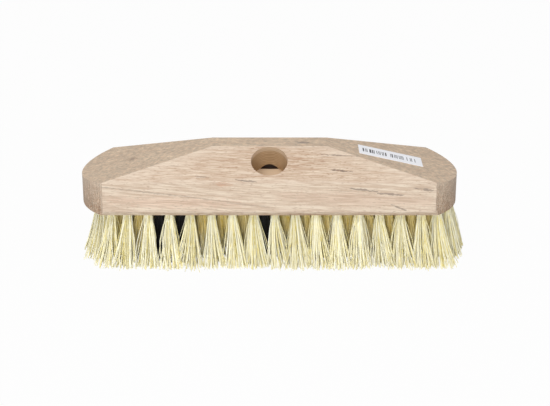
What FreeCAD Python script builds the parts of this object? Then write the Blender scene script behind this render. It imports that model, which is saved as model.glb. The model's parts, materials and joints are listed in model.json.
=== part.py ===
import FreeCAD, Part
import os
import Sketcher

# Scrub brush head: a beech block with a roof-shaped back, two crossed handle bores and a
# staggered field of fibre tufts. Each tuft is doubled over a flat wire anchor in a blind hole.
# X runs along the block, the front slope faces -Y, and the tuft tips stand on Z = 0.

doc = FreeCAD.newDocument("scrub_brush_head")
sheet = doc.addObject("Spreadsheet::Sheet", "Sizes")

# Driving dimensions in millimetres, with angles in degrees and counts as plain numbers
driving_dimensions = [
    # The block: outline, upright walls, flat ridge and eased lower edges
    ("block_length", "250"),
    ("end_depth", "17"),
    ("block_width", "70"),
    ("block_height", "39"),
    ("wall_height", "23"),
    ("ridge_length", "76"),
    ("ridge_width", "18"),
    ("edge_bevel_height", "2.7"),
    ("edge_bevel_depth", "1.4"),
    # The handle bores, square to the long slopes
    ("bore_diameter", "24"),
    ("bore_depth", "21"),
    ("bore_margin", "0.6"),
    # The tuft field: rows along the block, an arc of tufts round each end, and how far the
    # whole field stands to the right of the middle of the block
    ("bristle_length", "37"),
    ("row_inset", "11.75"),
    ("side_inset", "7"),
    ("row_tufts", "15"),
    ("end_inset", "8"),
    ("end_tuft_step", "22"),
    ("end_tufts", "5"),
    ("field_shift", "3.3"),
    # One tuft in its hole
    ("hole_diameter", "6.2"),
    ("hole_depth", "7"),
    ("tuft_clearance", "0.1"),
    ("root_width", "5.6"),
    ("tip_gap", "0.6"),
    ("end_tip_width", "11"),
    ("end_lean", "6"),
    # One wire anchor across the fold of a tuft
    ("anchor_height", "1.8"),
    ("anchor_thickness", "0.5"),
    ("anchor_clearance", "0.05"),
    ("fold_depth", "1.3"),
    # The paper label on the right end slope
    ("label_length", "43.5"),
    ("label_width", "17.5"),
    ("label_thickness", "0.15"),
    ("label_inset", "44.5"),
    # How far the shaping cuts run past the wood
    ("overrun", "5"),
]
for line, (alias, text) in enumerate(driving_dimensions, start=1):
    sheet.set(f"A{line}", alias)
    sheet.set(f"B{line}", text)
    sheet.setAlias(f"B{line}", alias)
doc.recompute()

# Places of the dark tufts in the second row, counted from the left end
dark_places = (2, 3, 7)

# Sizes that follow from the driving dimensions
half_length = "Sizes.block_length / 2"
straight_length = "(Sizes.block_length - 2 * Sizes.end_depth)"
half_straight = f"{straight_length} / 2"
half_width = "Sizes.block_width / 2"
half_ridge = "Sizes.ridge_length / 2"
half_ridge_width = "Sizes.ridge_width / 2"
roof_rise = "(Sizes.block_height - Sizes.wall_height)"
roof_angle = f"atan(2 * {roof_rise} / (Sizes.block_width - Sizes.ridge_width))"
end_fall = f"(2 * {roof_rise} / ({straight_length} - Sizes.ridge_length))"
end_bulge = "(2 * Sizes.end_depth)"
end_radius = f"(({end_bulge} ^ 2 + Sizes.block_width ^ 2) / (4 * {end_bulge}))"
end_centre = f"({half_length} - {end_radius})"
end_tuft_radius = f"({end_radius} - Sizes.end_inset)"
end_sweep = "(Sizes.end_tuft_step * (Sizes.end_tufts - 1))"
bore_setback = "(Sizes.bore_diameter / 2 + Sizes.bore_margin)"
seat_foot = "(Sizes.hole_depth - Sizes.fold_depth - Sizes.anchor_height)"
plug_radius = "(Sizes.hole_diameter / 2 - Sizes.tuft_clearance)"
anchor_length = "(Sizes.hole_diameter - 2 * Sizes.anchor_clearance)"
passage_width = "(Sizes.anchor_thickness + 2 * Sizes.anchor_clearance)"
tuft_pitch = f"(({straight_length} - 2 * Sizes.row_inset) / (Sizes.row_tufts - 1))"
row_pitch = "((Sizes.block_width - 2 * Sizes.side_inset) / 4)"
row_tip_length = f"({tuft_pitch} - Sizes.tip_gap)"
row_tip_width = f"({row_pitch} - Sizes.tip_gap)"
label_place = f"({half_length} - Sizes.label_inset)"

# The tuft field: name, place across the block and number of tufts of each row
straight_count = "Sizes.row_tufts"
staggered_count = "(Sizes.row_tufts + 1)"
rows = [
    ("front_row", f"-2 * {row_pitch}", straight_count),
    ("second_row", f"-{row_pitch}", staggered_count),
    ("middle_row", "0", straight_count),
    ("fourth_row", row_pitch, staggered_count),
    ("back_row", f"2 * {row_pitch}", straight_count),
]
# The arcs of tufts: name, centre along the block and direction of the first tuft
ends = [
    ("left_end", f"-{end_centre}", f"180 - {end_sweep} / 2"),
    ("right_end", end_centre, f"-{end_sweep} / 2"),
]
x_direction = FreeCAD.Vector(1, 0, 0)
y_direction = FreeCAD.Vector(0, 1, 0)
z_direction = FreeCAD.Vector(0, 0, 1)


def value(expression):
    """The present number of an expression in the sheet's sizes."""
    result = sheet.evalExpression(expression)
    return float(getattr(result, "Value", result))


def vector(x, y):
    """A point of a sketch whose places are expressions."""
    return FreeCAD.Vector(value(x), value(y), 0)


def origin_part(body, role):
    """An axis or a plane of a body's own origin."""
    for feature in body.Origin.OriginFeatures:
        if feature.Role == role:
            return feature
    raise ValueError(role)


def place_by_sizes(item, prop, shift, turn_axis=None, turn="0"):
    """Bind a placement property to expressions for its shift and its turn."""
    rotation = FreeCAD.Rotation(turn_axis or z_direction, value(turn))
    setattr(item, prop, FreeCAD.Placement(FreeCAD.Vector(), rotation))
    if turn != "0":
        item.setExpression(f"{prop}.Rotation.Angle", turn)
    for axis, expression in shift.items():
        item.setExpression(f"{prop}.Base.{axis}", expression)


def new_body(label, shift=None, turn_axis=None, turn="0"):
    """A body with its own origin on the underside of the block, or where the shift says."""
    body = doc.addObject("PartDesign::Body", label)
    body.Label = label
    body.AllowCompound = True
    place_by_sizes(body, "Placement", {"z": "Sizes.bristle_length", **(shift or {})}, turn_axis, turn)
    return body


def new_feature(body, kind, name, plane="XY_Plane", shift=None, turn_axis=None, turn="0"):
    """A sketch or a primitive on one of the body's origin planes."""
    feature = body.newObject(kind, name)
    feature.AttachmentSupport = [(origin_part(body, plane), "")]
    feature.MapMode = "FlatFace"
    place_by_sizes(feature, "AttachmentOffset", shift or {}, turn_axis, turn)
    return feature


def new_sketch(body, name, *place, **more_place):
    """A sketch on one of the body's origin planes."""
    return new_feature(body, "Sketcher::SketchObject", name, *place, **more_place)


def bind(sketch, constraint, expression):
    """Add a dimension to a sketch and bind it to an expression."""
    index = sketch.addConstraint(constraint)
    sketch.setExpression(f"Constraints[{index}]", expression)


def hold_point(sketch, geometry, point, x, y):
    """Dimension one point of a sketch from the sketch's origin."""
    for kind, axis, expression in (("DistanceX", -2, x), ("DistanceY", -1, y)):
        if expression == "0":
            sketch.addConstraint(Sketcher.Constraint("PointOnObject", geometry, point, axis))
        else:
            dimension = Sketcher.Constraint(kind, -1, 1, geometry, point, value(expression))
            bind(sketch, dimension, expression)


def draw_outline(sketch, corners, arcs=None):
    """A closed outline through corners given as expressions.

    A stretch is straight unless arcs holds, for the corner that it starts from, a point
    that the arc passes through and its radius.
    """
    arcs = arcs or {}
    points = [vector(x, y) for x, y in corners]
    pieces = []
    for place, (start, end) in enumerate(zip(points, points[1:] + points[:1])):
        if place not in arcs:
            pieces.append((sketch.addGeometry(Part.LineSegment(start, end)), 1, 2))
            continue
        middle = vector(*arcs[place][0])
        arc = sketch.addGeometry(Part.Arc(start, middle, end))
        turns_left = (middle - start).cross(end - middle).z > 0
        pieces.append((arc, 1, 2) if turns_left else (arc, 2, 1))
    for (piece, _, end), (follower, start, _) in zip(pieces, pieces[1:] + pieces[:1]):
        sketch.addConstraint(Sketcher.Constraint("Coincident", piece, end, follower, start))
    for (piece, start, _), (x, y) in zip(pieces, corners):
        hold_point(sketch, piece, start, x, y)
    for place, (_, radius) in arcs.items():
        bind(sketch, Sketcher.Constraint("Radius", pieces[place][0], value(radius)), radius)


def draw_rectangle(sketch, length, width, x="0"):
    """A rectangle about a centre on the sketch's own X axis."""
    low = f"{x} - {length} / 2"
    high = f"{x} + {length} / 2"
    edge = f"{width} / 2"
    draw_outline(sketch, [(low, f"-{edge}"), (high, f"-{edge}"), (high, edge), (low, edge)])


def corners_at(turns, radius, x):
    """Corners at some turns round a centre on the sketch's own X axis."""
    return [(f"{x} + {radius} * cos({turn})", f"{radius} * sin({turn})") for turn in turns]


def draw_hole(sketch, x="0"):
    """A tuft hole, twelve-sided in place of the drilled round."""
    corner_radius = "(Sizes.hole_diameter / (2 * cos(15)))"
    draw_outline(sketch, corners_at(range(15, 360, 30), corner_radius, x))


def extrude(body, kind, name, sketch, length, up=True, both_ways=False):
    """A pad or a pocket of a sketch, upwards, downwards or about the sketch's plane."""
    feature = body.newObject(kind, name)
    feature.Profile = sketch
    feature.SideType = "Symmetric" if both_ways else "One side"
    feature.Reversed = up == (kind == "PartDesign::Pocket")
    feature.setExpression("Length", length)
    return feature


def repeat_along_row(body, name, originals, count):
    """Copies of features along the body's X axis, a tuft pitch apart."""
    pattern = body.newObject("PartDesign::LinearPattern", name)
    pattern.Originals = originals
    pattern.Direction = (origin_part(body, "X_Axis"), [""])
    pattern.setExpression("Length", f"{tuft_pitch} * ({count} - 1)")
    pattern.setExpression("Occurrences", count)
    body.Tip = pattern


def repeat_round_end(body, name, originals, axis):
    """Copies of features round the centre of the arc at one end of the block."""
    pattern = body.newObject("PartDesign::PolarPattern", name)
    pattern.Originals = originals
    pattern.Axis = axis
    pattern.setExpression("Angle", end_sweep)
    pattern.setExpression("Occurrences", "Sizes.end_tufts")
    body.Tip = pattern


def row_place(count, place="0"):
    """Where one tuft of a row stands along the block, with the row centred on it."""
    return f"{tuft_pitch} * ({place} - ({count} - 1) / 2)"


def make_block():
    """The beech block: a moulded section, sloped and rounded at its ends, bored and drilled."""
    body = new_body("beech_block", {"x": "-Sizes.field_shift"})
    section = new_sketch(body, "block_section", "YZ_Plane")
    foot = f"({half_width} - Sizes.edge_bevel_depth)"
    draw_outline(section, [
        (f"-{foot}", "0"),
        (foot, "0"),
        (half_width, "Sizes.edge_bevel_height"),
        (half_width, "Sizes.wall_height"),
        (half_ridge_width, "Sizes.block_height"),
        (f"-{half_ridge_width}", "Sizes.block_height"),
        (f"-{half_width}", "Sizes.wall_height"),
        (f"-{half_width}", "Sizes.edge_bevel_height"),
    ])
    extrude(body, "PartDesign::Pad", "moulded_section", section, "Sizes.block_length", both_ways=True)
    slope_the_ends(body)
    round_the_ends(body)
    bore_for_handles(body)
    drill_for_tufts(body)
    return body


def slope_the_ends(body):
    """Saw both end slopes, from the ridge down to the corners of the upright walls."""
    sketch = new_sketch(body, "end_slope_waste", "XZ_Plane")
    far = f"({half_length} + Sizes.overrun)"
    top = "Sizes.block_height + Sizes.overrun"
    low = f"Sizes.block_height - {end_fall} * ({far} - {half_ridge})"
    for side in ("", "-"):
        draw_outline(sketch, [
            (f"{side}{half_ridge}", "Sizes.block_height"),
            (f"{side}{far}", low),
            (f"{side}{far}", top),
            (f"{side}{half_ridge}", top),
        ])
    width = "Sizes.block_width + 2 * Sizes.overrun"
    extrude(body, "PartDesign::Pocket", "end_slopes", sketch, width, both_ways=True)


def round_the_ends(body):
    """Shape both ends to one arc from corner to corner of the straight sides."""
    sketch = new_sketch(body, "end_round_waste")
    far = f"({half_length} + Sizes.overrun)"
    wide = f"({half_width} + Sizes.overrun)"
    for side in ("", "-"):
        near = f"{side}{half_straight}"
        corners = [
            (near, f"-{half_width}"),
            (near, f"-{wide}"),
            (f"{side}{far}", f"-{wide}"),
            (f"{side}{far}", wide),
            (near, wide),
            (near, half_width),
        ]
        draw_outline(sketch, corners, {5: ((f"{side}{half_length}", "0"), end_radius)})
    height = "Sizes.block_height + Sizes.overrun"
    extrude(body, "PartDesign::Pocket", "end_rounds", sketch, height)


def bore_for_handles(body):
    """A flat-bottomed bore square to the front slope, and its mirror image in the back slope."""
    shift = {
        "y": f"-({half_ridge_width} + {bore_setback} * cos({roof_angle}))",
        "z": f"Sizes.block_height - {bore_setback} * sin({roof_angle})",
    }
    sketch = new_sketch(body, "bore_mouth", "XY_Plane", shift, x_direction, roof_angle)
    circle = sketch.addGeometry(Part.Circle(FreeCAD.Vector(), z_direction, value(bore_setback)))
    hold_point(sketch, circle, 3, "0", "0")
    diameter = "Sizes.bore_diameter"
    bind(sketch, Sketcher.Constraint("Diameter", circle, value(diameter)), diameter)
    bore = extrude(body, "PartDesign::Pocket", "front_bore", sketch, "Sizes.bore_depth", up=False)
    mirror = body.newObject("PartDesign::Mirrored", "back_bore")
    mirror.Originals = [bore]
    mirror.MirrorPlane = (origin_part(body, "XZ_Plane"), [""])
    body.Tip = mirror


def drill_for_tufts(block):
    """Drill the whole tuft field into the underside of the block, blind, in one cut."""
    drills = new_body("tuft_drills", {"x": "Sizes.field_shift", "z": "0"})
    for name, row_y, count in rows:
        sketch = new_sketch(drills, f"{name}_hole", shift={"x": row_place(count), "y": row_y})
        draw_hole(sketch)
        drill = extrude(drills, "PartDesign::Pad", f"{name}_drill", sketch, "Sizes.hole_depth")
        repeat_along_row(drills, f"{name}_drills", [drill], count)
    for name, centre, first_turn in ends:
        place = {"shift": {"x": centre}, "turn_axis": z_direction, "turn": first_turn}
        sketch = new_sketch(drills, f"{name}_hole", **place)
        draw_hole(sketch, end_tuft_radius)
        drill = extrude(drills, "PartDesign::Pad", f"{name}_drill", sketch, "Sizes.hole_depth")
        repeat_round_end(drills, f"{name}_drills", [drill], (sketch, ["N_Axis"]))
    holes = block.newObject("PartDesign::Boolean", "tuft_holes")
    holes.Type = "Cut"
    holes.setObjects([drills])
    block.Tip = holes


def stand_tuft(body, name, x, tip_length, tip_width, lean):
    """One tuft: a plug that fills its hole, a passage for the anchor and a fan of fibre below."""
    root = new_sketch(body, f"{name}_root")
    draw_outline(root, corners_at(range(30, 360, 60), plug_radius, x))
    plug = extrude(body, "PartDesign::Pad", f"{name}_plug", root, "Sizes.hole_depth")
    gap = new_sketch(body, f"{name}_gap", shift={"z": f"{seat_foot} - Sizes.anchor_clearance"})
    draw_rectangle(gap, "Sizes.hole_diameter", passage_width, x)
    gap_height = "Sizes.anchor_height + 2 * Sizes.anchor_clearance"
    passage = extrude(body, "PartDesign::Pocket", f"{name}_passage", gap, gap_height)
    down = {"turn_axis": x_direction, "turn": "-90"}
    fan = new_feature(body, "PartDesign::AdditiveWedge", f"{name}_fan", **down)
    fan_sizes = {
        "Ymin": "0",
        "Ymax": "Sizes.bristle_length",
        "Xmin": f"{x} - Sizes.root_width / 2",
        "Xmax": f"{x} + Sizes.root_width / 2",
        "Zmin": "-Sizes.root_width / 2",
        "Zmax": "Sizes.root_width / 2",
        "X2min": f"{x} + {lean} - {tip_length} / 2",
        "X2max": f"{x} + {lean} + {tip_length} / 2",
        "Z2min": f"-{tip_width} / 2",
        "Z2max": f"{tip_width} / 2",
    }
    for side, expression in fan_sizes.items():
        fan.setExpression(side, expression)
    return [plug, passage, fan]


def row_of_tufts(label, row_y, count, runs):
    """The tufts of one row, in unbroken runs of a first place and a number of tufts."""
    body = new_body(label, {"y": row_y})
    for first, number in runs:
        name = f"{label}_{first}"
        tuft = stand_tuft(body, name, row_place(count, first), row_tip_length, row_tip_width, "0")
        if number != "1":
            repeat_along_row(body, f"{name}_run", tuft, number)
    return body


def end_arc_of_tufts(label, centre, first_turn):
    """The tufts round one end of the block, leaning outwards."""
    body = new_body(label, {"x": centre}, z_direction, first_turn)
    tip = "Sizes.end_tip_width"
    tuft = stand_tuft(body, label, end_tuft_radius, tip, tip, "Sizes.end_lean")
    repeat_round_end(body, f"{label}_arc", tuft, (origin_part(body, "Z_Axis"), [""]))
    return body


def set_anchor(body, name, x):
    """One flat wire anchor, on edge across its hole from wall to wall."""
    sketch = new_sketch(body, f"{name}_outline", shift={"z": seat_foot})
    draw_rectangle(sketch, anchor_length, "Sizes.anchor_thickness", x)
    return extrude(body, "PartDesign::Pad", f"{name}_strip", sketch, "Sizes.anchor_height")


def row_of_anchors(label, row_y, count):
    """The wire anchors of one row."""
    body = new_body(label, {"y": row_y})
    strip = set_anchor(body, label, row_place(count))
    repeat_along_row(body, f"{label}_run", [strip], count)
    return body


def end_arc_of_anchors(label, centre, first_turn):
    """The wire anchors round one end of the block."""
    body = new_body(label, {"x": centre}, z_direction, first_turn)
    strip = set_anchor(body, label, end_tuft_radius)
    repeat_round_end(body, f"{label}_arc", [strip], (origin_part(body, "Z_Axis"), [""]))
    return body


def make_label():
    """The bare paper label that lies on the right end slope."""
    fall = f"{end_fall} * ({label_place} - {half_ridge})"
    height = f"Sizes.bristle_length + Sizes.block_height - {fall}"
    tilt = f"atan({end_fall})"
    shift = {"x": f"{label_place} - Sizes.field_shift", "z": height}
    body = new_body("paper_label", shift, y_direction, tilt)
    sketch = new_sketch(body, "label_outline")
    draw_rectangle(sketch, "Sizes.label_length", "Sizes.label_width")
    extrude(body, "PartDesign::Pad", "label_sheet", sketch, "Sizes.label_thickness")
    return body


def runs_between(places, total):
    """The unbroken runs of a row that leave out some places."""
    runs = []
    first = 0
    for place in (*places, total):
        if place > first:
            runs.append((str(first), str(place - first)))
        first = place + 1
    return runs


subparts = [make_block()]
for row_name, row_y, row_count in rows:
    row_runs = [("0", row_count)]
    if row_name == "second_row":
        row_runs = runs_between(dark_places, int(value(row_count)))
        dark_runs = [(str(place), "1") for place in dark_places]
        subparts.append(row_of_tufts("dark_tufts", row_y, row_count, dark_runs))
    subparts.append(row_of_tufts(f"{row_name}_tufts", row_y, row_count, row_runs))
    subparts.append(row_of_anchors(f"{row_name}_anchors", row_y, row_count))
for end_name, end_x, end_turn in ends:
    subparts.append(end_arc_of_tufts(f"{end_name}_tufts", end_x, end_turn))
    subparts.append(end_arc_of_anchors(f"{end_name}_anchors", end_x, end_turn))
subparts.append(make_label())
doc.recompute()

# Nothing is written unless every object and every solid is sound
for item in doc.Objects:
    if "Invalid" in item.State or "Error" in item.State:
        raise RuntimeError(f"{item.Name} failed: {item.State}")
for subpart in subparts:
    if subpart.Shape.isNull() or not subpart.Shape.isValid():
        raise RuntimeError(f"{subpart.Label} has no sound shape")

os.makedirs("parts", exist_ok=True)
for subpart in subparts:
    subpart.Shape.exportStep(os.path.join("parts", f"{subpart.Label}.step"))
    print(subpart.Label, len(subpart.Shape.Solids), "solids", round(subpart.Shape.Volume, 1), "mm3")
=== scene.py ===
# %% [markdown]
# # A scrub brush head
# A beech block with a roof-shaped back carries five rows of plant-fibre tufts and an arc of tufts
# round each end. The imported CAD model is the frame: it says where every piece is, in metres.
# This lesson gives the wood, fibre, wire and paper their looks and never moves a CAD piece.

# %% Load the frame
import json
import math

import bmesh
import bpy
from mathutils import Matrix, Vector


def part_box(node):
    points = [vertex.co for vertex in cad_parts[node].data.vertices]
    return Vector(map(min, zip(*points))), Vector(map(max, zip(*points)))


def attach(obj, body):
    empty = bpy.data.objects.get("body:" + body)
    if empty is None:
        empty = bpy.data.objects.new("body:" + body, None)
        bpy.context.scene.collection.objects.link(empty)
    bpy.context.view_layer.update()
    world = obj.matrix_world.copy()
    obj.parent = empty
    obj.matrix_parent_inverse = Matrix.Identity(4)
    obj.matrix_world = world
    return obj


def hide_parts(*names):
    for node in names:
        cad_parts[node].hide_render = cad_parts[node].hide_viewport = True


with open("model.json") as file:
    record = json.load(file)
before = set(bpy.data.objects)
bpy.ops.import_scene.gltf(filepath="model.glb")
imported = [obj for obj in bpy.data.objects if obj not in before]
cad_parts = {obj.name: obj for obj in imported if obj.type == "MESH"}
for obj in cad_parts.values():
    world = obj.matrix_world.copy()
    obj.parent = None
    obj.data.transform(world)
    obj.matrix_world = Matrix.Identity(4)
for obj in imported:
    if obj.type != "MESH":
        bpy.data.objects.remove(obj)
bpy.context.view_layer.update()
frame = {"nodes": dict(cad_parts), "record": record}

MM = 0.001
block_low, block_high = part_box("beech_block")
underside = block_low.z
block_middle = (block_low.x + block_high.x) / 2
half_width = (block_high.y - block_low.y) / 2
print("block", [round(size / MM, 1) for size in block_high - block_low], "mm")

# %% [markdown]
# ## Three small helpers
# Colours are easiest to judge as the sRGB hex values of a picture editor, but shaders work in
# linear light, so one function converts them. Another adds any node, with its settings, fills or
# links its inputs and gives back an output, so that a material reads as a list of ideas. The last
# starts an empty material.

# %% Helpers for colours and nodes
def linear(hex_colour):
    """A linear RGBA colour from an sRGB hex value such as "DEC8B1"."""
    channels = [int(hex_colour[place:place + 2], 16) / 255 for place in (0, 2, 4)]
    return [c / 12.92 if c <= 0.04045 else ((c + 0.055) / 1.055) ** 2.4 for c in channels] + [1.0]


def add(tree, kind, inputs=None, out=0, **settings):
    """Add a node whose inputs are values or sockets, and give back one output, or all for None."""
    made = tree.nodes.new(kind)
    for setting, value in settings.items():
        setattr(made, setting, value)
    for place, value in (inputs or {}).items():
        if isinstance(value, bpy.types.NodeSocket):
            tree.links.new(value, made.inputs[place])
        else:
            made.inputs[place].default_value = value
    return made.outputs if out is None else made.outputs[out]


def new_material(name):
    """An empty material, its node tree and its Principled shader."""
    material = bpy.data.materials.new(name)
    material.use_nodes = True
    return material, material.node_tree, material.node_tree.nodes["Principled BSDF"]


print("cream is", [round(channel, 3) for channel in linear("EDE5B9")])

# %% [markdown]
# ## Sanded beech
# Beech is a pale, slightly pink hardwood. A sanded face shows three things: faint growth rings
# that run along the board, hair-thin streaks of fibre, and short brown flecks where the wood's
# rays are cut. An image could hold that for one face, but a solid pattern in Object coordinates
# goes through the whole block, so the rounded ends show it from the end, as real wood does.

# %% Beech: coordinates and rings
beech, tree, beech_shader = new_material("sanded_beech")
place = add(tree, "ShaderNodeTexCoord", out="Object")
ring_width = 3.4 * MM
pith = (0.0, -75 * MM, -40 * MM)
grain_slope = math.radians(-3.2)
wander_reach = 4 * MM
wander_scale = (9.0, 40.0, 40.0)

# The grain slopes down a little to the right, and sways once in about 110 mm along the board
tilted = add(tree, "ShaderNodeMapping", {"Vector": place, "Rotation": (0.0, grain_slope, 0.0)})
slow = add(tree, "ShaderNodeMapping", {"Vector": tilted, "Scale": wander_scale})
wander = add(tree, "ShaderNodeTexNoise", {"Vector": slow, "Scale": 1.0, "Detail": 2.0}, "Color")
centred = add(tree, "ShaderNodeVectorMath", {0: wander, 1: (0.5, 0.5, 0.5)}, operation="SUBTRACT")
sway = add(tree, "ShaderNodeVectorMath", {0: centred, "Scale": wander_reach}, operation="SCALE")
grain = add(tree, "ShaderNodeVectorMath", {0: tilted, 1: sway})

# Rings are shells round the pith, which lies outside the block; each ends in a darker line
from_pith = add(tree, "ShaderNodeVectorMath", {0: grain, 1: pith}, operation="SUBTRACT")
across = add(tree, "ShaderNodeVectorMath", {0: from_pith, 1: (0.0, 1.0, 1.0)}, operation="MULTIPLY")
radius = add(tree, "ShaderNodeVectorMath", {0: across}, "Value", operation="LENGTH")
turns = add(tree, "ShaderNodeMath", {0: radius, 1: ring_width}, operation="DIVIDE")
season = add(tree, "ShaderNodeMath", {0: turns}, operation="FRACT")
late_wood = add(tree, "ShaderNodeMapRange", {"Value": season, "From Min": 0.55, "From Max": 0.97},
                interpolation_type="SMOOTHSTEP")
print("beech rings every", round(ring_width / MM, 1), "mm")

# %% [markdown]
# Bands, streaks, hairs, flecks and dark lines are one idea at five sizes: noise drawn out along
# the grain. The stretch comes from the length and width of one mark in millimetres. The first
# three set the tone, and of the flecks and lines only the peaks are kept. Real hairs and flecks
# are finer, but at that size they would not show, so they are drawn about 0.7 mm wide.

# %% Beech: bands, streaks, hairs, flecks and dark lines
# Name, length and width of one mark in millimetres, and levels of detail
figure_sizes = (("band", 150, 5.0, 2.0), ("streak", 30, 0.75, 4.0), ("hair", 14, 0.7, 6.0),
                ("fleck", 3.2, 0.75, 1.0), ("line", 48, 0.9, 2.0))
figures = {}
for name, length, width, detail in figure_sizes:
    scale = (1 / (length * MM), 1 / (width * MM), 1 / (width * MM))
    drawn_out = add(tree, "ShaderNodeMapping", {"Vector": grain, "Scale": scale})
    figures[name] = add(tree, "ShaderNodeTexNoise",
                        {"Vector": drawn_out, "Scale": 1.0, "Detail": detail, "Roughness": 0.6})
streak = figures["streak"]
fleck = add(tree, "ShaderNodeMapRange",
            {"Value": figures["fleck"], "From Min": 0.60, "From Max": 0.70, "To Max": 0.6})
dark_line = add(tree, "ShaderNodeMapRange",
                {"Value": figures["line"], "From Min": 0.66, "From Max": 0.76, "To Max": 0.6})
print("beech figures", list(figures))

# %% [markdown]
# Bands, streaks and hairs are mixed into one tone between a pale and a deep colour. The render
# softens the grain on the upright walls, so the tone swings further there. Rings, flecks and dark
# lines are laid over it.

# %% Beech: the tone of the wood
# How far the mixed noise must depart from its mean for the palest or deepest tone
full_swing = 0.09
full_wall_swing = 0.052
broad = add(tree, "ShaderNodeMix", {0: 0.68, 2: figures["band"], 3: streak})
fine = add(tree, "ShaderNodeMix", {0: 0.5, 2: broad, 3: figures["hair"]})
facing = add(tree, "ShaderNodeSeparateXYZ", {0: add(tree, "ShaderNodeTexCoord", out="Normal")}, None)
# One on a face that stands upright, and zero on the slopes
upright = add(tree, "ShaderNodeMapRange", {"Value": facing["Z"], "From Min": 0.3, "From Max": 0.1})
full = add(tree, "ShaderNodeMapRange",
           {"Value": upright, "To Min": full_swing, "To Max": full_wall_swing})
swing = add(tree, "ShaderNodeMath", {0: fine, 1: 0.5}, operation="SUBTRACT")
swing_share = add(tree, "ShaderNodeMath", {0: swing, 1: full}, operation="DIVIDE")
depth = add(tree, "ShaderNodeMapRange", {"Value": swing_share, "From Min": -1.0, "From Max": 1.0})
board = add(tree, "ShaderNodeMix", {0: depth, 6: linear("D8C7B3"), 7: linear("AD8F76")}, 2,
            data_type="RGBA")
ring_share = add(tree, "ShaderNodeMath", {0: late_wood, 1: 0.2}, operation="MULTIPLY")
for share, colour in ((ring_share, "B48E70"), (fleck, "8A6040"), (dark_line, "785842")):
    board = add(tree, "ShaderNodeMix", {0: share, 6: board, 7: linear(colour)}, 2, data_type="RGBA")
print("tone with rings, flecks and dark lines")

# %% [markdown]
# Every board also has marks of its own. Each is a short stroke on a known face, so the distance
# to a line between two points of that face draws it. Places are in millimetres from the middle
# of the block. Strokes run to a point at both ends, and hairs and flecks break them up. Each one
# darkens the wood that it lies on, so the grain shows through.

# %% Beech: the marks of this board
wall_top = underside + 23 * MM
ridge_half_width = 9 * MM
ridge_half_length = 38 * MM
slope_half_length = 108 * MM


def on_front(x, z):
    """A point of the front wall or, above it, of the front slope, from its place and height."""
    rise = max(z * MM - wall_top, 0.0) / (block_high.z - wall_top)
    y = rise * (half_width - ridge_half_width) - half_width
    return Vector((block_middle + x * MM, y, z * MM))


def on_top(x, y):
    """A point of the ridge or, beyond it, of an end slope."""
    fall = max(abs(x) * MM - ridge_half_length, 0.0) / (slope_half_length - ridge_half_length)
    return Vector((block_middle + x * MM, y * MM, block_high.z - fall * (block_high.z - wall_top)))


# Start, end, half width in millimetres, strength and colour of each mark
dark, rust, pink, tan = "5C3A24", "E09A58", "FFD5C9", "E4C8BC"
marks = [
    (on_front(-110, 57.2), on_front(-52, 50.3), 0.5, 0.55, dark),
    (on_front(-52, 50.3), on_front(2, 42.5), 0.5, 0.45, dark),
    (on_front(-48, 62.7), on_front(-38, 62.4), 0.5, 0.50, dark),
    (on_front(-22, 61.3), on_front(-8, 60.3), 0.6, 0.85, dark),
    (on_front(-38, 58.8), on_front(-24, 58.5), 1.1, 0.65, rust),
    (on_front(34, 72.3), on_front(58, 71.5), 0.5, 0.85, dark),
    (on_front(40, 65.6), on_front(54, 64.9), 0.6, 0.90, dark),
    (on_front(52, 56.1), on_front(70, 53.9), 0.6, 0.90, dark),
    (on_front(70, 52.9), on_front(87, 51.6), 0.6, 0.90, dark),
    (on_front(93, 56.6), on_front(107, 54.4), 0.65, 0.95, dark),
    (on_front(79, 45.0), on_front(89, 40.9), 0.55, 0.85, dark),
    (on_front(-104, 47.5), on_front(-20, 45.5), 3.2, 0.32, pink),
    (on_front(8, 50.5), on_front(104, 47.0), 4.2, 0.50, tan),
    (on_top(18, -0.5), on_top(26, -1.2), 1.5, 1.00, dark),
    (on_top(58, 6.8), on_top(68, 6.4), 1.5, 0.80, dark),
    (on_top(-93.5, 0.4), on_top(-89.5, -0.4), 3.0, 1.00, "96703C"),
]
# Shares of a half width: how far a mark frays and tapers, where it begins and where it is full
fray_share = 7.0
taper_share = 1.4
edge_share = 1.4
core_share = 0.7
crumbs = add(tree, "ShaderNodeMix", {0: 0.6, 2: figures["hair"], 3: figures["fleck"]})
ragged = add(tree, "ShaderNodeMath", {0: crumbs, 1: 0.5}, operation="SUBTRACT")
for start, end, half_millimetres, strength, colour in marks:
    run = end - start
    half = half_millimetres * MM
    apart = add(tree, "ShaderNodeVectorMath", {0: place, 1: start}, operation="SUBTRACT")
    step = {0: apart, 1: run / run.length_squared}
    progress = add(tree, "ShaderNodeVectorMath", step, "Value", operation="DOT_PRODUCT")
    held = add(tree, "ShaderNodeClamp", {"Value": progress})
    foot = add(tree, "ShaderNodeVectorMath", {0: run, "Scale": held}, operation="SCALE")
    gap = add(tree, "ShaderNodeVectorMath", {0: apart, 1: foot}, "Value", operation="DISTANCE")
    past_middle = add(tree, "ShaderNodeMath", {0: held, 1: 0.5}, operation="SUBTRACT")
    from_middle = add(tree, "ShaderNodeMath", {0: past_middle}, operation="ABSOLUTE")
    frayed = add(tree, "ShaderNodeMath", {0: ragged, 1: fray_share * half, 2: gap},
                 operation="MULTIPLY_ADD")
    pointed = add(tree, "ShaderNodeMath", {0: from_middle, 1: taper_share * half, 2: frayed},
                  operation="MULTIPLY_ADD")
    limits = {"From Min": edge_share * half, "From Max": core_share * half, "To Max": strength}
    stroke = add(tree, "ShaderNodeMapRange", {"Value": pointed, **limits})
    board = add(tree, "ShaderNodeMix", {0: stroke, 6: board, 7: linear(colour)}, 2,
                data_type="RGBA", blend_type="MULTIPLY")
print(len(marks), "marks")

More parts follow.
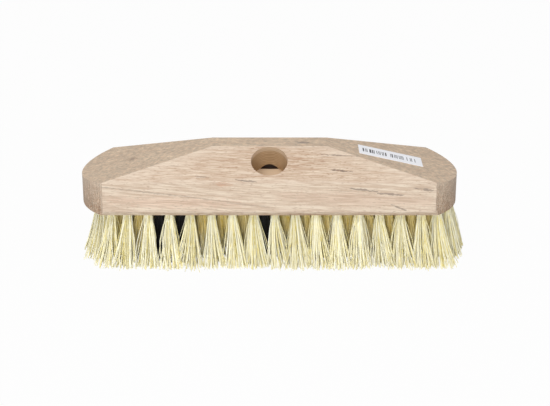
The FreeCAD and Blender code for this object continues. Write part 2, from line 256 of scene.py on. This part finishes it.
# %% [markdown]
# The ridge and end slopes come straight off the saw, so they look greyer and grainier than the
# sanded slopes, and the rounded ends show rough end grain in upright streaks. Both can be told
# from the way a face points, so the object's own normals choose the finish from every side.

# %% Beech: sawn faces and end grain
sawn = add(tree, "ShaderNodeMapRange", {"Value": facing["Z"], "From Min": 0.90, "From Max": 0.95})
sideways = add(tree, "ShaderNodeMath", {0: facing["X"]}, operation="ABSOLUTE")
end_grain = add(tree, "ShaderNodeMapRange", {"Value": sideways, "From Min": 0.40, "From Max": 0.55})
rough_wood = []
for share, size, tint in ((sawn, (3.0, 2.2, 2.2), "EFE4D2"), (end_grain, (0.7, 0.7, 5.0), "E6DFD9")):
    scale = [1 / (length * MM) for length in size]
    stretched = add(tree, "ShaderNodeMapping", {"Vector": place, "Scale": scale})
    grit = add(tree, "ShaderNodeTexNoise",
               {"Vector": stretched, "Scale": 1.0, "Detail": 4.0, "Roughness": 0.7})
    level = add(tree, "ShaderNodeMapRange", {"Value": grit, "From Min": 0.3, "From Max": 0.7,
                                             "To Min": 0.45, "To Max": 1.55})
    tinted = add(tree, "ShaderNodeMix", {0: 1.0, 6: board, 7: linear(tint)}, 2,
                 data_type="RGBA", blend_type="MULTIPLY")
    gritty = add(tree, "ShaderNodeVectorMath", {0: tinted, "Scale": level}, operation="SCALE")
    board = add(tree, "ShaderNodeMix", {0: share, 6: board, 7: gritty}, 2, data_type="RGBA")
    rough_wood.append(add(tree, "ShaderNodeMath", {0: share, 1: grit}, operation="MULTIPLY"))
print("two rough finishes")

# %% [markdown]
# Inside the handle bores the wall is drawn browner than the faces, as painted shade of the recess,
# and the drill has left rings in it. A paler band below the rim and the flat floor are painted
# light. Where the bores meet, the lower side of the far one is painted near black as painted shade.
# Where the bores meet, the photograph shows dark wood on the lower side of the far one: it is drawn
# as burnt by the drill, which is a guess. The record's mounts give each bore's axis: the distance
# from it says which wood is bore wall, the place along it how deep that wood lies, and a line
# square to it which side of the bore that is.

# %% Beech: the bored walls
ring_spacing = 1.7 * MM
skin = 0.1 * MM
# Where each begins and where it is full: below the axis, along it, and down from the mouth
low_side = (4 * MM, 7 * MM)
# Painted shade deep in the bore on its lower side, then painted light in a band below the mouth
painted_shade_span = (0.5 * MM, -2.5 * MM)
rim = (4.5 * MM, 3 * MM)
for mount in frame["record"]["mounts"]:
    if mount["kind"] != "bore":
        continue
    axis = Vector(mount["axis"])
    half_depth = mount["dims"]["length_mm"] * MM / 2
    offset = add(tree, "ShaderNodeVectorMath", {0: place, 1: mount["pos_m"]}, operation="SUBTRACT")
    along = add(tree, "ShaderNodeVectorMath", {0: offset, 1: axis}, "Value", operation="DOT_PRODUCT")
    arm = add(tree, "ShaderNodeVectorMath", {0: offset, 1: axis}, operation="CROSS_PRODUCT")
    distance = add(tree, "ShaderNodeVectorMath", {0: arm}, "Value", operation="LENGTH")
    bore_reach = mount["dims"]["r_mm"] * MM + skin
    near = add(tree, "ShaderNodeMath", {0: distance, 1: bore_reach}, operation="LESS_THAN")
    below = add(tree, "ShaderNodeMath", {0: along, 1: half_depth - skin}, operation="LESS_THAN")
    inside = add(tree, "ShaderNodeMath", {0: near, 1: below}, operation="MULTIPLY")
    uneven = add(tree, "ShaderNodeMath", {0: streak, 1: ring_spacing, 2: along},
                 operation="MULTIPLY_ADD")
    count = add(tree, "ShaderNodeMath", {0: uneven, 1: 2 * math.pi / ring_spacing},
                operation="MULTIPLY")
    wave = add(tree, "ShaderNodeMath", {0: count}, operation="SINE")
    shade = add(tree, "ShaderNodeMapRange", {"Value": wave, "From Min": -1.0, "To Max": 0.8})
    # The wall's brown is painted shade of the recess; the wave over it gives the drill's rings
    wall = add(tree, "ShaderNodeMix", {0: shade, 6: linear("CBAE8A"), 7: linear("A3815B")}, 2,
               data_type="RGBA")
    lower_side = axis.cross(Vector((1.0, 0.0, 0.0)))
    lower_side = lower_side if lower_side.z < 0 else -lower_side
    low_down = add(tree, "ShaderNodeVectorMath", {0: offset, 1: lower_side}, "Value",
                   operation="DOT_PRODUCT")
    shade_on_low_side = add(tree, "ShaderNodeMapRange",
                      {"Value": low_down, "From Min": low_side[0], "From Max": low_side[1]})
    # Painted shade deep down, painted light at rim and floor, each from and to a place along the axis
    for start, end, most, colour in ((painted_shade_span[0], painted_shade_span[1], shade_on_low_side, "2E1C0C"),
                                     (half_depth - rim[0], half_depth - rim[1], 0.6, "E2CBB1"),
                                     (2 * skin - half_depth, skin - half_depth, 1.0, "DFC6A8")):
        limits = {"From Min": start, "From Max": end, "To Max": most}
        share = add(tree, "ShaderNodeMapRange", {"Value": along, **limits})
        wall = add(tree, "ShaderNodeMix", {0: share, 6: wall, 7: linear(colour)}, 2, data_type="RGBA")
    board = add(tree, "ShaderNodeMix", {0: inside, 6: board, 7: wall}, 2, data_type="RGBA")
    print("bore wall", mount["name"], round(2 * half_depth / MM, 1), "mm deep")

# %% [markdown]
# Gloss and relief come from the same streaks. Long handling and the sander leave the edges a
# little paler, and the block below stores where those edges are.

# %% Beech: gloss, relief and worn edges
worn = add(tree, "ShaderNodeAttribute", out="Fac", attribute_name="worn_edge")
worn_share = add(tree, "ShaderNodeMath", {0: worn, 1: 0.35}, operation="MULTIPLY")
board = add(tree, "ShaderNodeMix", {0: worn_share, 6: board, 7: linear("E2D5C4")}, 2, data_type="RGBA")
tree.links.new(board, beech_shader.inputs["Base Color"])
gloss = add(tree, "ShaderNodeMapRange", {"Value": streak, "To Min": 0.56, "To Max": 0.74})
tree.links.new(gloss, beech_shader.inputs["Roughness"])
height = add(tree, "ShaderNodeMath", {0: streak, 1: fleck}, operation="SUBTRACT")
for rough in rough_wood:
    height = add(tree, "ShaderNodeMath", {0: height, 1: rough})
relief = add(tree, "ShaderNodeBump", {"Strength": 0.4, "Distance": 0.15 * MM, "Height": height})
tree.links.new(relief, beech_shader.inputs["Normal"])
beech_shader.inputs["Specular IOR Level"].default_value = 0.35
print("beech has", len(tree.nodes), "nodes")

# %% [markdown]
# ## The block with its edges broken
# The sander takes the sharpness off every outer edge. A copy of the CAD mesh is merged into
# whole faces, and a narrow round is set along the edges between outer faces. The block is convex
# but for its holes, so a face is outer if no corner stands in front of it. The bore mouths and
# tuft holes stay crisp, as a drill leaves them.

# %% Break the block's outer edges
edge_round = 0.4 * MM
least_turn = math.radians(11)
flat_turn = math.radians(1)
crease_turn = math.radians(22)
weld_distance = 0.002 * MM
work = bmesh.new()
work.from_mesh(frame["nodes"]["beech_block"].data)
bmesh.ops.remove_doubles(work, verts=work.verts, dist=weld_distance)
bmesh.ops.dissolve_limit(work, angle_limit=flat_turn, verts=work.verts, edges=work.edges)


def is_outer(face):
    """Whether no corner of the block stands in front of a face."""
    spot = face.verts[0].co
    return all((corner.co - spot).dot(face.normal) < skin for corner in work.verts)


outer = []
for edge in work.edges:
    above = min(corner.co.z for corner in edge.verts) > underside + skin
    if above and edge.calc_face_angle(0.0) > least_turn and all(map(is_outer, edge.link_faces)):
        outer.append(edge)
rounds = bmesh.ops.bevel(work, geom=outer, offset=edge_round, offset_type="OFFSET", segments=2,
                         profile=0.5, affect="EDGES", clamp_overlap=True)
worn_layer = work.verts.layers.float.new("worn_edge")
for face in rounds["faces"]:
    for corner in face.verts:
        corner[worn_layer] = 1.0
for face in work.faces:
    face.smooth = True
for edge in work.edges:
    edge.smooth = edge.calc_face_angle(0.0) < crease_turn
block_mesh = bpy.data.meshes.new("sanded_block")
work.to_mesh(block_mesh)
work.free()
block_mesh.materials.append(beech)
print(len(outer), "edges broken", len(block_mesh.polygons), "faces")

# %% [markdown]
# A flat face must stay flat to the eye right up to its rounds. Normals weighted by face area do
# that: at each corner the large face decides, and only the narrow round bends the light.

# %% Stand the block in the frame
def plain_mesh(piece):
    """Turn a piece's modifiers into a plain mesh."""
    graph = bpy.context.evaluated_depsgraph_get()
    made = bpy.data.meshes.new_from_object(piece.evaluated_get(graph))
    piece.modifiers.clear()
    piece.data = made
    return made


sanded_block = bpy.data.objects.new("sanded_block", block_mesh)
bpy.context.scene.collection.objects.link(sanded_block)
flatten = sanded_block.modifiers.new("flat_faces", "WEIGHTED_NORMAL")
flatten.mode = "FACE_AREA"
flatten.weight = 100
flatten.keep_sharp = True
plain_mesh(sanded_block)
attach(sanded_block, "root")
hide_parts("beech_block")
print("block rides on root")

# %% [markdown]
# ## Plant fibre
# The tufts are a stiff plant fibre, cream with some stems yellower, cut flat at the tips. A fibre
# is under half a millimetre thick and dull with a faint waxy sheen. Each one carries its own
# tint as an attribute of the mesh, so that neighbours differ as real stems do. The inner rows are
# seen by light that has gone from fibre to fibre and taken on their yellow. A renderer stops
# after a few such steps, so the inner fibres are drawn yellower towards their roots.

# %% Fibre materials
def fibre_material(name, pale, deep, root_tint="FFFFFF", spot_size=2.5 * MM):
    """Dry fibre whose stems range between two colours, in spots, and are tinted at their roots."""
    material, tree, shader = new_material(name)
    tint = add(tree, "ShaderNodeAttribute", out="Fac", attribute_name="tint")
    down = add(tree, "ShaderNodeAttribute", out="Fac", attribute_name="along")
    place = add(tree, "ShaderNodeTexCoord", out="Object")
    spots = add(tree, "ShaderNodeTexNoise", {"Vector": place, "Scale": 1 / spot_size, "Detail": 2.0})
    mixed = add(tree, "ShaderNodeMath", {0: tint, 1: spots}, operation="MULTIPLY")
    depth = add(tree, "ShaderNodeMapRange", {"Value": mixed, "From Max": 0.6})
    stem = add(tree, "ShaderNodeMix", {0: depth, 6: linear(pale), 7: linear(deep)}, 2, data_type="RGBA")
    near_root = add(tree, "ShaderNodeMapRange", {"Value": down, "From Min": 0.9, "From Max": 0.4})
    stem = add(tree, "ShaderNodeMix", {0: near_root, 6: stem, 7: linear(root_tint)}, 2,
               data_type="RGBA", blend_type="MULTIPLY")
    tree.links.new(stem, shader.inputs["Base Color"])
    gloss = add(tree, "ShaderNodeMapRange", {"Value": down, "To Min": 0.5, "To Max": 0.62})
    tree.links.new(gloss, shader.inputs["Roughness"])
    shader.inputs["Specular IOR Level"].default_value = 0.35
    return material


cream_fibre = fibre_material("cream_tampico_fibre", "FFFDEA", "E9DA88")
shaded_fibre = fibre_material("shaded_tampico_fibre", "FFFDEA", "E9DA88", "FEF1C4")
# Near-black fibre for three tufts of the second row
dark_fibre = fibre_material("black_fibre", "14100D", "0A0807")
print("fibres", cream_fibre.name, shaded_fibre.name, dark_fibre.name)

# %% [markdown]
# ## A tuft of fibres
# Hair particles would make bristles, but they leave no plain mesh. Here Geometry Nodes take one
# vertex per tuft, copy it once per fibre, and give every copy a root in the hole and a tip in the
# fan. Fibres of one tuft stick together in clumps, so their tips are drawn towards common spots,
# which opens the dark slits that a real tuft shows.

# %% The tree: named inputs
tufts = bpy.data.node_groups.new("tufts_of_fibre", "GeometryNodeTree")
tuft_inputs = {}
for name, kind in (("Tufts", "Geometry"), ("Fibres", "Int"), ("Root radius", "Float"),
                   ("Length", "Float"), ("Thickness", "Float"), ("Lean", "Float"), ("Stray", "Float"),
                   ("Clumps", "Int"), ("Clumping", "Float"), ("Seed", "Int"), ("Material", "Material")):
    socket = tufts.interface.new_socket(name, in_out="INPUT", socket_type=f"NodeSocket{kind}")
    tuft_inputs[name] = socket.identifier
tufts.interface.new_socket("Fibre", in_out="OUTPUT", socket_type="NodeSocketGeometry")
given = add(tufts, "NodeGroupInput", out=None)


def random_number(shift, low=0.0, high=1.0):
    """A random number for each point, different for each shift of the seed."""
    seed = add(tufts, "ShaderNodeMath", {0: given["Seed"], 1: float(shift)})
    return add(tufts, "FunctionNodeRandomValue", {2: low, 3: high, "Seed": seed}, 1)


def stored(name, kind="FLOAT_VECTOR"):
    """An attribute that each tuft or fibre carries."""
    return add(tufts, "GeometryNodeInputNamedAttribute", {"Name": name}, data_type=kind)


def keep(geometry, name, value, kind="FLOAT_VECTOR"):
    """The geometry with a value stored on each of its points."""
    inputs = {"Geometry": geometry, "Name": name, "Value": value}
    return add(tufts, "GeometryNodeStoreNamedAttribute", inputs, data_type=kind, domain="POINT")


print("tree inputs", list(tuft_inputs))

# %% The tree: one point per fibre
own_lean = add(tufts, "ShaderNodeCombineXYZ",
               {"X": random_number(50, -1.0, 1.0), "Y": random_number(51, -0.6, 0.6)})
tuft_lean = add(tufts, "ShaderNodeVectorMath", {0: own_lean, "Scale": given["Lean"]}, operation="SCALE")
whole_lean = add(tufts, "ShaderNodeVectorMath", {0: tuft_lean, 1: stored("lean")})
own_fan = add(tufts, "ShaderNodeVectorMath", {0: stored("fan"), "Scale": random_number(52, 0.86, 1.14)},
              operation="SCALE")
points = keep(given["Tufts"], "whole_lean", whole_lean)
points = keep(points, "own_fan", own_fan)
points = keep(points, "home", add(tufts, "GeometryNodeInputPosition"))
points = add(tufts, "GeometryNodeDuplicateElements", {"Geometry": points, "Amount": given["Fibres"]},
             domain="POINT")
print("each tuft leans and fans a little differently")

# %% [markdown]
# A root is a random spot in the round hole: the square root of a random number spreads the spots
# evenly over the disc. The tip is the same spot on the wider fan, drawn towards its clump: the
# disc is cut into square cells, and white noise picks one point in each cell as its clump. A few
# fibres stray far and most hardly at all, which a high power of a random number gives.

# %% The tree: roots, tips and lengths
# Shares of the stray: what every fibre gets, and what the rarest gets on top
common_stray = 0.35
rarest_stray = 3.6
rare_power = 8.0
# Shares of the length: the longest fibre stops just above the floor
longest = 0.996
shortening = 0.045
short_power = 3.0
turn = random_number(1, 0.0, 2 * math.pi)
spread = add(tufts, "ShaderNodeMath", {0: random_number(2), 1: 0.5}, operation="POWER")


def round_about(angle, reach):
    """A vector in the plane of the hole, at an angle and of a length."""
    cosine = add(tufts, "ShaderNodeMath", {0: angle}, operation="COSINE")
    sine = add(tufts, "ShaderNodeMath", {0: angle}, operation="SINE")
    unit = add(tufts, "ShaderNodeCombineXYZ", {"X": cosine, "Y": sine})
    return add(tufts, "ShaderNodeVectorMath", {0: unit, "Scale": reach}, operation="SCALE")


on_disc = round_about(turn, spread)
cell_width = add(tufts, "ShaderNodeMath", {0: 2.0, 1: given["Clumps"]}, operation="DIVIDE")
cell = add(tufts, "ShaderNodeCombineXYZ", {"X": cell_width, "Y": cell_width, "Z": 1.0})
cell_corner = add(tufts, "ShaderNodeVectorMath", {0: on_disc, 1: cell}, operation="SNAP")
cell_name = add(tufts, "ShaderNodeVectorMath", {0: cell_corner, 1: stored("home")})
chance = add(tufts, "ShaderNodeTexWhiteNoise", {"Vector": cell_name}, "Color")
clump = add(tufts, "ShaderNodeVectorMath", {0: chance, 1: cell, 2: cell_corner},
            operation="MULTIPLY_ADD")
gathered = add(tufts, "ShaderNodeMix", {0: given["Clumping"], 4: on_disc, 5: clump}, 1,
               data_type="VECTOR")
root_reach = add(tufts, "ShaderNodeMath", {0: spread, 1: given["Root radius"]}, operation="MULTIPLY")
rare = add(tufts, "ShaderNodeMath", {0: random_number(3), 1: rare_power}, operation="POWER")
stray_share = add(tufts, "ShaderNodeMath", {0: rare, 1: rarest_stray, 2: common_stray},
                  operation="MULTIPLY_ADD")
stray_reach = add(tufts, "ShaderNodeMath", {0: stray_share, 1: given["Stray"]}, operation="MULTIPLY")
fanned = add(tufts, "ShaderNodeVectorMath", {0: gathered, 1: stored("own_fan")}, operation="MULTIPLY")
leaned = add(tufts, "ShaderNodeVectorMath", {0: fanned, 1: stored("whole_lean")})
stray = round_about(random_number(4, 0.0, 2 * math.pi), stray_reach)
tip = add(tufts, "ShaderNodeVectorMath", {0: leaned, 1: stray})
bow = round_about(random_number(5, 0.0, 2 * math.pi), stray_reach)
short = add(tufts, "ShaderNodeMath", {0: random_number(6), 1: short_power}, operation="POWER")
kept_share = add(tufts, "ShaderNodeMath", {0: short, 1: -shortening, 2: longest},
                 operation="MULTIPLY_ADD")
drop = add(tufts, "ShaderNodeMath", {0: kept_share, 1: given["Length"]}, operation="MULTIPLY")
points = keep(points, "root", round_about(turn, root_reach))
points = keep(points, "tip", tip)
points = keep(points, "bow", bow)
points = keep(points, "drop", drop, "FLOAT")
points = keep(points, "tint", random_number(7), "FLOAT")
print("each fibre has a root, a tip, a bow, a length and a tint")

# %% [markdown]
# Every point then gets a short line of a few points, and each line is bent from its root to its
# tip. A square section is enough for a fibre less than half a millimetre thick. The bend grows
# towards the tip, because the hole holds the root upright.

# %% The tree: lines, bends and thickness
line_points = 5
section_corners = 4
bend_power = 1.4
line = add(tufts, "GeometryNodeCurvePrimitiveLine", {"Start": (0, 0, 0), "End": (0, 0, -1.0)})
jointed = add(tufts, "GeometryNodeResampleCurve", {"Curve": line, "Count": line_points})
lines = add(tufts, "GeometryNodeInstanceOnPoints", {"Points": points, "Instance": jointed})
fibres = add(tufts, "GeometryNodeRealizeInstances", {0: lines})
down = add(tufts, "GeometryNodeSplineParameter", out="Factor")
eased = add(tufts, "ShaderNodeMath", {0: down, 1: bend_power}, operation="POWER")
between = add(tufts, "ShaderNodeMix", {0: eased, 4: stored("root"), 5: stored("tip")}, 1,
              data_type="VECTOR")
half_turn = add(tufts, "ShaderNodeMath", {0: down, 1: math.pi}, operation="MULTIPLY")
belly = add(tufts, "ShaderNodeMath", {0: half_turn}, operation="SINE")
bowed = add(tufts, "ShaderNodeVectorMath", {0: stored("bow"), "Scale": belly}, operation="SCALE")
fallen = add(tufts, "ShaderNodeMath", {0: down, 1: stored("drop", "FLOAT")}, operation="MULTIPLY")
sunk = add(tufts, "ShaderNodeMath", {0: fallen, 1: -1.0}, operation="MULTIPLY")
position = stored("home")
for share in (between, bowed, add(tufts, "ShaderNodeCombineXYZ", {"Z": sunk})):
    position = add(tufts, "ShaderNodeVectorMath", {0: position, 1: share})
bent = add(tufts, "GeometryNodeSetPosition", {"Geometry": fibres, "Position": position})
bent = keep(bent, "along", down, "FLOAT")
section_radius = add(tufts, "ShaderNodeMath", {0: given["Thickness"], 1: 0.5}, operation="MULTIPLY")
section = add(tufts, "GeometryNodeCurvePrimitiveCircle",
              {"Resolution": section_corners, "Radius": section_radius})
solid = add(tufts, "GeometryNodeCurveToMesh",
            {"Curve": bent, "Profile Curve": section, "Fill Caps": True})
rounded = add(tufts, "GeometryNodeSetShadeSmooth", {"Geometry": solid})
real = add(tufts, "GeometryNodeRealizeInstances", {0: rounded})
finished = add(tufts, "GeometryNodeSetMaterial", {"Geometry": real, "Material": given["Material"]})
add(tufts, "NodeGroupOutput", {0: finished}, None)
print("tuft tree has", len(tufts.nodes), "nodes")

# %% [markdown]
# ## Where the tufts stand
# Each tuft is doubled over a wire anchor in its hole, so the middle of each anchor marks a tuft.
# The anchors are small CAD boxes with equally many vertices, one after the other in the mesh.

# %% Tuft places, read from the anchors
def anchor_places(node, count):
    """The middle of each anchor of a node, from left to right, on the block's underside."""
    corners = [vertex.co for vertex in frame["nodes"][node].data.vertices]
    each = len(corners) // count
    groups = [corners[first:first + each] for first in range(0, len(corners), each)]
    middles = [sum(group, Vector()) / len(group) for group in groups]
    return sorted((spot.x, spot.y, underside) for spot in middles)


fibre_settings = {
    "Fibres": 130,
    "Root radius": 2.55 * MM,
    "Length": underside,
    "Thickness": 0.5 * MM,
    "Lean": 2.0 * MM,
    "Stray": 1.1 * MM,
    "Clumps": 6,
    "Clumping": 0.75,
}


def grow_tufts(node, places, leans, fan, material, seed):
    """One mesh of fibres for the tufts of a CAD node, which it replaces."""
    mesh = bpy.data.meshes.new(f"{node}_places")
    mesh.from_pydata(places, [], [])
    for name, rows in (("lean", leans), ("fan", [fan] * len(places))):
        layer = mesh.attributes.new(name, "FLOAT_VECTOR", "POINT")
        layer.data.foreach_set("vector", [number for row in rows for number in row])
    piece = bpy.data.objects.new(f"{node}_fibres", mesh)
    bpy.context.scene.collection.objects.link(piece)
    modifier = piece.modifiers.new("fibres", "NODES")
    modifier.node_group = tufts
    for name, value in {**fibre_settings, "Seed": seed, "Material": material}.items():
        modifier[tuft_inputs[name]] = value
    grown = plain_mesh(piece)
    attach(piece, "root")
    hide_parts(node)
    print(node, len(places), "tufts", len(grown.polygons), "faces")


print(fibre_settings["Fibres"], "fibres to a tuft")

# %% [markdown]
# ## The tuft field
# Row tufts fan out until they touch their neighbours, and the outer rows splay outwards a
# little. Along a row they lean away from one that stands upright, left of the middle. The three
# black tufts spread wider and splay with the front row, so that black shows between the tips
# there. Those round the ends lean outwards, away from the middle of the block.

# %% Grow the rows
row_fan = (9.4 * MM, 7.0 * MM, 0.0)
dark_fan = (11 * MM, 8 * MM, 0.0)
row_counts = {"front_row": 15, "second_row": 16, "middle_row": 15, "fourth_row": 16, "back_row": 15}
splay = {"front_row": -5 * MM, "back_row": 5 * MM}
dark_places = (2, 3, 7)
upright_place = -40 * MM
lean_growth = 0.03
seed_step = 100
dark_seed = 900


def row_leans(places, outwards):
    """The lean of each tuft of a row: away from the upright place, and outwards by a splay."""
    return [(lean_growth * (spot[0] - upright_place), outwards, 0.0) for spot in places]


for order, (row, count) in enumerate(row_counts.items()):
    places = anchor_places(f"{row}_anchors", count)
    if row == "second_row":
        dark_spots = [places[number] for number in dark_places]
        places = [spot for spot in places if spot not in dark_spots]
        dark_leans = row_leans(dark_spots, splay["front_row"])
        grow_tufts("dark_tufts", dark_spots, dark_leans, dark_fan, dark_fibre, dark_seed)
    leans = row_leans(places, splay.get(row, 0.0))
    fibre = cream_fibre if row in splay else shaded_fibre
    grow_tufts(f"{row}_tufts", places, leans, row_fan, fibre, seed_step * order)

# %% Grow the ends
end_fan = (8.2 * MM, 8.2 * MM, 0.0)
end_lean = 5.5 * MM
end_tufts = 5
end_seed = 600
for order, (end, side) in enumerate((("left_end", -1), ("right_end", 1))):
    places = anchor_places(f"{end}_anchors", end_tufts)
    half_chord = max(spot[1] for spot in places)
    farthest = max(abs(spot[0]) for spot in places)
    arc_rise = farthest - min(abs(spot[0]) for spot in places)
    arc_radius = (arc_rise ** 2 + half_chord ** 2) / (2 * arc_rise)
    centre = side * (farthest - arc_radius)
    outward = [Vector((spot[0] - centre, spot[1], 0)).normalized() * end_lean for spot in places]
    seed = end_seed + seed_step * order
    grow_tufts(f"{end}_tufts", places, outward, end_fan, cream_fibre, seed)

# %% [markdown]
# ## Wire anchors
# The anchors are bright zinc-plated wire, out of sight in the holes. Drawing leaves fine
# scratches along the wire, which change the gloss and not the colour.

# %% Wire
# Scratches about 3.3 mm long and 0.17 mm wide
scratch_scale = (300.0, 6000.0, 6000.0)
wire, tree, shader = new_material("zinc_plated_steel_wire")
place = add(tree, "ShaderNodeTexCoord", out="Object")
drawn = add(tree, "ShaderNodeMapping", {"Vector": place, "Scale": scratch_scale})
scratches = add(tree, "ShaderNodeTexNoise", {"Vector": drawn, "Scale": 1.0, "Detail": 3.0})
gloss = add(tree, "ShaderNodeMapRange", {"Value": scratches, "To Min": 0.25, "To Max": 0.45})
tree.links.new(gloss, shader.inputs["Roughness"])
shader.inputs["Metallic"].default_value = 1.0
shader.inputs["Base Color"].default_value = linear("C8CACC")
wired = [name for name in frame["nodes"] if name.endswith("_anchors")]
for name in wired:
    frame["nodes"][name].data.materials.clear()
    frame["nodes"][name].data.materials.append(wire)
print("wire on", len(wired), "nodes")

# %% [markdown]
# ## The paper label
# A small sheet of coated paper lies on the right end slope. Its print is plain upright bars:
# white noise over numbered columns inks some of them.

# %% Paper label
label_low, label_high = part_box("paper_label")
label_middle = (label_low + label_high) / 2
label_tilt = math.atan2(label_high.z - label_low.z, label_high.x - label_low.x)
bar_width = 0.45 * MM
bare_share = 0.58
pulp_size = 0.8 * MM
print_half = (19 * MM, 3.4 * MM)
paper, tree, shader = new_material("coated_label_paper")
place = add(tree, "ShaderNodeTexCoord", out="Object")
on_slope = add(tree, "ShaderNodeVectorMath", {0: place, 1: label_middle}, operation="SUBTRACT")
flat = add(tree, "ShaderNodeVectorRotate", {"Vector": on_slope, "Angle": label_tilt},
           rotation_type="Y_AXIS", invert=True)
on_label = add(tree, "ShaderNodeSeparateXYZ", {0: flat}, None)
column = add(tree, "ShaderNodeMath", {0: on_label["X"], 1: bar_width}, operation="DIVIDE")
number = add(tree, "ShaderNodeMath", {0: column}, operation="FLOOR")
column_chance = add(tree, "ShaderNodeTexWhiteNoise", {"W": number}, noise_dimensions="1D")
ink = add(tree, "ShaderNodeMath", {0: column_chance, 1: bare_share}, operation="GREATER_THAN")
for letter, print_reach in zip("XY", print_half):
    from_centre = add(tree, "ShaderNodeMath", {0: on_label[letter]}, operation="ABSOLUTE")
    within = add(tree, "ShaderNodeMath", {0: from_centre, 1: print_reach}, operation="LESS_THAN")
    ink = add(tree, "ShaderNodeMath", {0: ink, 1: within}, operation="MULTIPLY")
pulp = add(tree, "ShaderNodeTexNoise", {"Vector": place, "Scale": 1 / pulp_size, "Detail": 3.0})
sheet = add(tree, "ShaderNodeMix", {0: pulp, 6: linear("F6F6FA"), 7: linear("EAEBF0")}, 2,
            data_type="RGBA")
printed = add(tree, "ShaderNodeMix", {0: ink, 6: sheet, 7: linear("3A3A3E")}, 2, data_type="RGBA")
tree.links.new(printed, shader.inputs["Base Color"])
gloss = add(tree, "ShaderNodeMapRange", {"Value": pulp, "To Min": 0.4, "To Max": 0.6})
tree.links.new(gloss, shader.inputs["Roughness"])
frame["nodes"]["paper_label"].data.materials.clear()
frame["nodes"]["paper_label"].data.materials.append(paper)
print("label tilt", round(math.degrees(label_tilt), 1), "degrees")

# %% [markdown]
# ## Floor, light and camera
# A pale floor takes the shadow. Two soft sources stand in front: a high one for the slopes and
# the ridge, and a low one that reaches between the tufts. An even sky fills the rest. Floor and
# sky are brighter where the camera sees them, straight or in a reflection, and not for the light
# that they scatter on the brush.

# %% Floor
def seen_directly(tree):
    """One for a ray from the camera, a mirror or glass, and zero for a ray that carries light."""
    rays = add(tree, "ShaderNodeLightPath", out=None)
    seen = rays["Is Camera Ray"]
    for kind in ("Is Glossy Ray", "Is Transmission Ray"):
        seen = add(tree, "ShaderNodeMath", {0: seen, 1: rays[kind]}, operation="MAXIMUM")
    return seen


floor_reach = 20.0
floor_glow = 0.97
floor_signs = ((-1, -1), (1, -1), (1, 1), (-1, 1))
floor_corners = [(x * floor_reach, y * floor_reach, 0.0) for x, y in floor_signs]
floor_mesh = bpy.data.meshes.new("floor")
floor_mesh.from_pydata(floor_corners, [], [(0, 1, 2, 3)])
floor = bpy.data.objects.new("floor", floor_mesh)
bpy.context.scene.collection.objects.link(floor)
studio_paper, tree, shader = new_material("studio_paper")
shader.inputs["Base Color"].default_value = linear("BEBEBB")
shader.inputs["Roughness"].default_value = 0.9
glow_share = add(tree, "ShaderNodeMath", {0: seen_directly(tree), 1: floor_glow}, operation="MULTIPLY")
glow = add(tree, "ShaderNodeEmission", {"Color": (1.0, 1.0, 1.0, 1.0), "Strength": 1.0})
blend = add(tree, "ShaderNodeMixShader", {0: glow_share, 1: shader.outputs[0], 2: glow})
tree.links.new(blend, tree.nodes["Material Output"].inputs["Surface"])
floor_mesh.materials.append(studio_paper)
print("floor", 2 * floor_reach, "m across")

# %% Sky and lamps
sky_level = 0.4
world = bpy.data.worlds.new("studio")
bpy.context.scene.world = world
world.use_nodes = True
tree = world.node_tree
sky = tree.nodes["Background"]
sky.inputs["Color"].default_value = (1.0, 1.0, 1.0, 1.0)
level = add(tree, "ShaderNodeMapRange",
            {"Value": seen_directly(tree), "To Min": sky_level, "To Max": 1.0})
tree.links.new(level, sky.inputs["Strength"])

lamp_distance = 1.5
left_share = 0.1
lamp_tall = 0.5
# Name, degrees above the floor, width in metres and power in watts
lamp_facts = (("high_softbox", 62, 1.3, 11.5), ("low_softbox", 15, 0.5, 10.8))
for name, degrees, width, watts in lamp_facts:
    lamp_height = math.radians(degrees)
    lamp_data = bpy.data.lights.new(name, "AREA")
    lamp_data.shape = "RECTANGLE"
    lamp_data.size = width
    lamp_data.size_y = lamp_tall
    lamp_data.energy = watts
    lamp = bpy.data.objects.new(name, lamp_data)
    towards_lamp = Vector((-left_share, -math.cos(lamp_height), math.sin(lamp_height)))
    lamp.location = lamp_distance * towards_lamp
    lamp.rotation_euler = (-towards_lamp).to_track_quat("-Z", "Y").to_euler()
    bpy.context.scene.collection.objects.link(lamp)
    print(name, watts, "W")

# %% [markdown]
# The camera stands where the photograph was taken from: a perspective fit of the block's corners
# gave its height above the floor, its distance and its focal length in pixels.

# %% Camera
photo_width = 550
focal_pixels = 1397
camera_data = bpy.data.cameras.new("camera")
camera_data.sensor_width = 36.0
camera_data.lens = camera_data.sensor_width * focal_pixels / photo_width
camera = bpy.data.objects.new("camera", camera_data)
aim_right = 3.7 * MM
aim_height = 32.4 * MM
aim = Vector((block_middle + aim_right, 0.0, aim_height))
camera_height = math.radians(21.35)
camera_distance = 943 * MM
camera.location = aim + camera_distance * Vector((0, -math.cos(camera_height), math.sin(camera_height)))
camera.rotation_euler = (aim - camera.location).to_track_quat("-Z", "Y").to_euler()
bpy.context.scene.collection.objects.link(camera)
bpy.context.scene.camera = camera
bpy.context.scene.view_settings.view_transform = "Standard"
print("lens", round(camera_data.lens, 1), "mm")
